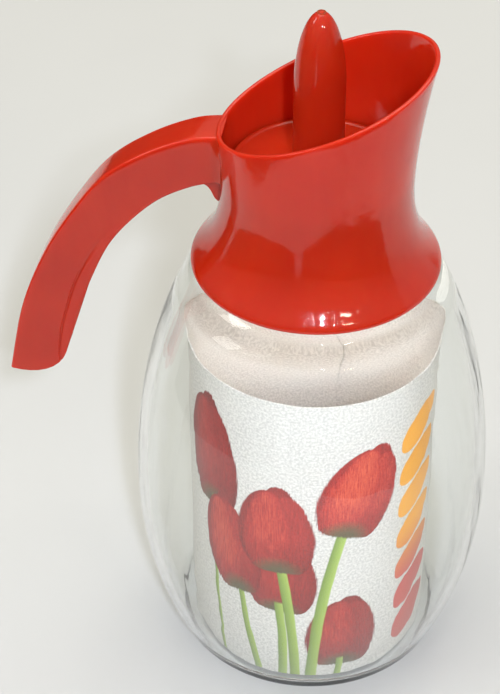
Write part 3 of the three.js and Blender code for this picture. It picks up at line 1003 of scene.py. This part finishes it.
def tulip_group():
    """Node group of one tulip in a box 1 wide and 1 high, from the middle of its base."""
    tree = bpy.data.node_groups.new("tulip", "ShaderNodeTree")
    for name in ("x", "y", "grain"):
        tree.interface.new_socket(name, in_out="INPUT", socket_type="NodeSocketFloat")
    for name in ("mask", "shade"):
        tree.interface.new_socket(name, in_out="OUTPUT", socket_type="NodeSocketFloat")
    entry = tree.nodes.new("NodeGroupInput")
    leave = tree.nodes.new("NodeGroupOutput")
    x, y, grain = (Field(tree, entry.outputs[i]) for i in range(3))
    x = x + (grain - 0.5) * 0.045
    y = y + (grain - 0.5) * 0.030
    mask, shade = None, None
    # The closed cup first, then the petals that wrap round it.
    for centre, lean, low, high, half, dark, light in (
        (0.12, -0.04, 0.06, 1.00, 0.30, 0.30, 0.10),
        (0.00, 0.00, 0.00, 0.95, 0.49, 0.34, 0.14),
        (0.16, 0.02, 0.00, 0.90, 0.31, 0.38, 0.24),
        (-0.15, 0.12, 0.01, 0.93, 0.31, 0.46, 0.36),
    ):
        shape, depth = petal(x, y, centre, lean, low, high, half)
        tone = dark + light * depth.power(0.5)
        mask = shape if mask is None else mask.max(shape)
        shade = tone if shade is None else shade * (1 - shape) + tone * shape
    veins = (x * 34 + grain * 5).sin() * 0.03
    shade = (shade + veins) * (0.55 + 0.45 * y.ramp(0.0, 0.42)) * (0.55 + 0.90 * grain)
    tree.links.new(mask.socket, leave.inputs[0])
    tree.links.new(shade.socket, leave.inputs[1])
    return tree


def printed_paper():
    """Coated paper with a print of red tulips and a border of leaf shapes."""
    surface = Surface("printed_paper", IOR=1.45, Specular_IOR_Level=0.35)
    layout = surface.node("ShaderNodeUVMap", uv_map="print")
    split = surface.node("ShaderNodeSeparateXYZ")
    surface.link(layout.outputs[0], split.inputs[0])
    u = Field(surface.tree, split.outputs[0])
    v = Field(surface.tree, split.outputs[1])
    speckle = surface.noise(layout.outputs[0], 1.1, 2, 0.6)
    blotch = surface.noise(layout.outputs[0], 0.09, 3)
    streaks = surface.noise(surface.stretched(layout.outputs[0], (2.2, 0.16, 1)), 1.0, 4, 0.6)
    paper = surface.mix(speckle.ramp(0.40, 0.60), (0.60, 0.59, 0.545), (0.80, 0.785, 0.735))
    ink = surface.mix(blotch.ramp(0.35, 0.75) * 0.25, paper, (0.76, 0.73, 0.66))
    flower = tulip_group()

    def draw_tulips(ink, tulips):
        """Paints the tulips over the ink, each over the one before."""
        for base_u, base_v, width, height, lean, bright in tulips:
            turn = math.radians(lean)
            du, dv = u - base_u, v - base_v
            x = (du * math.cos(turn) - dv * math.sin(turn)) / width
            y = (du * math.sin(turn) + dv * math.cos(turn)) / height
            bloom = surface.node("ShaderNodeGroup")
            bloom.node_tree = flower
            surface.link(x, bloom.inputs[0])
            surface.link(y, bloom.inputs[1])
            surface.link(streaks.ramp(0.25, 0.75), bloom.inputs[2])
            shade = Field(surface.tree, bloom.outputs[1]) * bright
            shade = shade + (speckle - 0.5) * 0.55
            petals = surface.mix(shade.ramp(0.08, 0.62), (0.13, 0.016, 0.016), (0.46, 0.036, 0.030))
            tip = surface.mix(shade.ramp(0.56, 1.0) * 0.75, petals, (0.74, 0.14, 0.07))
            near_stem = (x * x * 8 + y * y * 26).ramp(1.0, 0.1)
            base = surface.mix(near_stem * 0.85, tip, (0.09, 0.11, 0.055))
            ink = surface.mix(Field(surface.tree, bloom.outputs[0]), ink, base)
        return ink

    ink = draw_tulips(ink, TULIPS_BEHIND)
    for foot_u, foot_v, top_u, top_v, width, bow in STEMS:
        share = (v - foot_v) / (top_v - foot_v)
        middle = foot_u + (top_u - foot_u) * share + bow * (share * math.pi).sin()
        off = (u - middle) / (width / 2)
        inside = off.abs().ramp(1.12, 0.88) * v.ramp(top_v + 1, top_v)
        lit = (off * 0.5 + 0.5).ramp(0.0, 1.0)
        green = surface.mix(lit, (0.14, 0.22, 0.04), (0.46, 0.60, 0.14))
        green = surface.mix(streaks * 0.5, green, (0.26, 0.40, 0.06))
        ink = surface.mix(inside, ink, green)
    ink = draw_tulips(ink, TULIPS_IN_FRONT)
    # The border: a column of slanting leaves, red at the bottom and orange at the top.
    out = (u - BORDER_U) / (2 * BORDER_HALF) + 0.5
    along = (v - BORDER_V) / LEAF_PITCH - out * LEAF_SLANT
    cell = along.fract() - 0.5
    in_column = along.ramp(0.0, 0.001) * along.ramp(LEAVES, LEAVES - 0.001)
    in_width = out.ramp(0.0, 0.01) * out.ramp(1.0, 0.99)
    bounded = out.max(0.001).min(0.999)
    leaf_half = bounded.power(0.42) * (1 - bounded).power(0.55) * 0.90
    leaf = (cell.abs() / leaf_half).ramp(1.06, 0.96)
    height = (v / BORDER_TOP + speckle * 0.05).ramp(0.38, 0.60)
    tint = surface.mix(height, (0.60, 0.095, 0.075), (0.90, 0.42, 0.045))
    ink = surface.mix(leaf * in_width * in_column, ink, tint)
    surface.colour(ink)
    surface.roughness(speckle * 0.15 + 0.36)
    surface.bump(speckle * 0.5 + blotch * 0.5, 0.00006)
    surface.let_light_through(PAPER_GLOW, ink)
    return surface.material


def paper_back():
    """Meant for the unprinted side, off-white with fine brushed fibres and a pink cast of
    painted light. No face shows it: see where the materials are given out, below."""
    surface = Surface("paper_back", IOR=1.45)
    layout = surface.node("ShaderNodeUVMap", uv_map="print")
    fibres = surface.noise(surface.stretched(layout.outputs[0], (0.9, 0.055, 1)), 1.0, 5, 0.7, 0.3)
    blotch = surface.noise(layout.outputs[0], 0.07, 3)
    # The pink cast of these colours is painted light from the red collar; the fibre streaks and
    # blotches themselves are the paper's own tone.
    pale_with_painted_glow = surface.mix(fibres.ramp(0.42, 0.57), (0.62, 0.54, 0.53), (0.98, 0.96, 0.955))
    pale_with_painted_glow = surface.mix(blotch.ramp(0.4, 0.75) * 0.35, pale_with_painted_glow, (0.84, 0.77, 0.76))
    surface.colour(pale_with_painted_glow)
    surface.roughness(fibres * 0.25 + 0.38)
    surface.bump(fibres, 0.00012)
    surface.let_light_through(PAPER_GLOW, pale_with_painted_glow)
    return surface.material


def pale_floor():
    """Matt board with a faint cloudiness."""
    surface = Surface("pale_floor", Roughness=0.8, Specular_IOR_Level=0.0)
    place = surface.place()
    cloud = surface.noise(place, 3.0, 4, 0.6)
    surface.colour(surface.mix(cloud.ramp(0.3, 0.7), (0.523, 0.531, 0.530), (0.548, 0.556, 0.554)))
    return surface.material


red = red_plastic()
clear = clear_glass()
plug_material = milky_polymer("milky_plug", (0.80, 0.78, 0.74), 0.42, 300)
seal_material = milky_polymer("silicone_seal", (0.82, 0.80, 0.75), 0.55, 500)
gasket_material = milky_polymer("silicone_gasket", (0.78, 0.76, 0.71), 0.6, 400)
for piece, slot, body, node, materials in (
    (collar, "red_plastic", "collar", "pouring_collar", [red]),
    (lid, "red_plastic", "stopper", "stopper_lid", [red]),
    (glass, "clear_glass", "jug", "glass_body", [clear]),
    (plug, "soft_plug", "stopper", "stopper_plug", [plug_material]),
    (seal, "silicone", "stopper", "plug_seal", [seal_material]),
    (gasket, "silicone", "neck_seal", "neck_gasket", [gasket_material]),
    (paper, "printed_paper", "jug", "paper_insert", [printed_paper(), paper_back()]),
):
    # Known fault: clear() also sends every face back to the first slot, so the sheet's
    # inner side and edges show the print too.
    piece.data.materials.clear()
    for material in materials:
        piece.data.materials.append(material)
    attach(piece, body)
    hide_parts(node)

# ------------------------ stage, light, camera

FLOOR_REACH = 4.0
MIDDLE = (0, 0, 0.17)  # what the lamps aim at
CARD_HEIGHT = 0.002
LENS_FACTOR = 2200 / 694  # focal length over the height of the view
CAMERA_PLACE = (67.6, -593.4, 604.75)  # mm
CAMERA_AIM = (-0.1168, 0.7694, -0.6280)


def flat_stage_piece(name, corners, material):
    """One flat polygon that belongs to the stage."""
    mesh = bpy.data.meshes.new(name)
    mesh.from_pydata(corners, [], [tuple(range(len(corners)))])
    mesh.materials.append(material)
    made = add_to_scene(name, mesh)
    return made


def hide_from_all_but_gloss(piece):
    piece.visible_camera = piece.visible_diffuse = False
    piece.visible_transmission = piece.visible_shadow = False


reach = FLOOR_REACH
floor_corners = [(-reach, -reach, 0), (reach, -reach, 0), (reach, reach, 0), (-reach, reach, 0)]
flat_stage_piece("floor", floor_corners, pale_floor())


def add_lamp(name, place, size, power, colour, shape="DISK", size_y=None, in_gloss=True):
    """An area lamp that aims at the middle of the jug. Gloss may or may not mirror it."""
    lamp = bpy.data.lights.new(name, "AREA")
    lamp.shape = shape
    lamp.size = size
    if size_y is not None:
        lamp.size_y = size_y
    lamp.energy = power
    lamp.color = colour
    made = add_to_scene(name, lamp)
    made.location = place
    made.rotation_euler = (Vector(MIDDLE) - Vector(place)).to_track_quat("-Z", "Y").to_euler()
    made.visible_glossy = in_gloss


def around(azimuth, elevation, distance):
    """A point round the jug: azimuth 0 is in front (-Y) and 90 on the spout's side (+X)."""
    a, e = math.radians(azimuth), math.radians(elevation)
    away = Vector((math.sin(a) * math.cos(e), -math.cos(a) * math.cos(e), math.sin(e)))
    return Vector(MIDDLE) + away * distance


add_lamp("flash", around(14, 35, 1.5), 0.05, 5.8, (0.82, 0.88, 1.0))
add_lamp("overhead", (-0.1, 0.3, 1.6), 1.4, 13.2, (1.0, 0.965, 0.865), "SQUARE")
add_lamp("front_fill", around(14, 39, 1.3), 0.08, 8.6, (0.81, 0.85, 1.0), in_gloss=False)
add_lamp("left_fill", around(-60, 50, 1.3), 0.6, 1.0, (1.0, 0.98, 0.94), in_gloss=False)
add_lamp("back_fill", around(158, 30, 1.3), 0.7, 3.2, (1.0, 0.97, 0.90), in_gloss=False)
add_lamp("window", around(-75, 37, 1.3), 0.38, 2.6, (1.0, 1.0, 1.0), "RECTANGLE", 0.50)
add_lamp("bar", around(36, 32, 1.1), 0.13, 0.8, (1.0, 0.86, 0.66), "RECTANGLE", 0.028)

# Cards round the jug that only gloss sees, painted reflections: dark ones lie in front and stand
# behind on the left, as a studio's black flags do, and a white one that glows by itself stands on
# the right, in place of a pale wall.
dark = Surface("dark_card", Roughness=0.9, Base_Color=(0.05, 0.035, 0.03, 1))
# The white card has no colour of its own: its emission paints the reflection of a pale wall.
white = Surface("glowing_white_card", Roughness=0.9, Base_Color=(0, 0, 0, 1), Emission_Strength=0.6)
white.shader.inputs["Emission Color"].default_value = (0.95, 0.93, 0.88, 1)
FLAG_RIGHT = [
    (-0.05, -0.40), (0.03, -0.33), (0.11, -0.265), (0.20, -0.19),
    (0.285, -0.03), (4.0, -0.22), (2.2, -4.0), (-0.6, -4.0),
]
FLAG_LEFT = [
    (-0.37, 0.02), (-0.275, -0.24), (-0.19, -0.33), (-0.12, -0.43),
    (-1.0, -3.9), (-3.9, -2.2), (-3.9, 0.6),
]
for name, outline in (("flag_right", FLAG_RIGHT), ("flag_left", FLAG_LEFT)):
    corners = [(x, y, CARD_HEIGHT) for x, y in outline]
    hide_from_all_but_gloss(flat_stage_piece(name, corners, dark.material))
for name, near, far, height, material in (
    ("glowing_white_card", (0.9, -0.045), (0.75, 0.75), 0.5, white.material),
    ("dark_card", (-0.35, 1.0), (-1.1, 0.6), 0.7, dark.material),
):
    corners = [(*near, 0), (*far, 0), (*far, height), (*near, height)]
    hide_from_all_but_gloss(flat_stage_piece(name, corners, material))

# A weak lamp inside the roll stands for the light that bounces about in white paper.
glow = bpy.data.lights.new("inner_glow", "POINT")
glow.shadow_soft_size = 0.025
glow.energy = 0.055
glow.color = (1.0, 0.93, 0.90)
inner = add_to_scene("inner_glow", glow)
inner.location = (0, 0, 0.105)
inner.visible_camera = inner.visible_glossy = inner.visible_transmission = False

# The room is dim at the horizon and brighter overhead.
world = bpy.data.worlds.new("soft_room")
world.use_nodes = True
tree = world.node_tree
direction = tree.nodes.new("ShaderNodeTexCoord")
split = tree.nodes.new("ShaderNodeSeparateXYZ")
ramp = tree.nodes.new("ShaderNodeValToRGB")
tree.links.new(direction.outputs["Generated"], split.inputs[0])
tree.links.new(split.outputs[2], ramp.inputs[0])
tree.links.new(ramp.outputs[0], tree.nodes["Background"].inputs["Color"])
horizon, overhead = ramp.color_ramp.elements
horizon.position, overhead.position = 0.0, 0.85
horizon.color = (0.215, 0.195, 0.158, 1)
overhead.color = (0.64, 0.61, 0.525, 1)
bpy.context.scene.world = world
bpy.context.scene.view_settings.view_transform = "Standard"

lens = bpy.data.cameras.new("camera")
lens.lens = LENS_FACTOR * lens.sensor_width
lens.clip_start = 0.01
camera = add_to_scene("camera", lens)
camera.location = Vector(CAMERA_PLACE) * MM
camera.rotation_euler = Vector(CAMERA_AIM).to_track_quat("-Z", "Y").to_euler()
bpy.context.scene.camera = camera
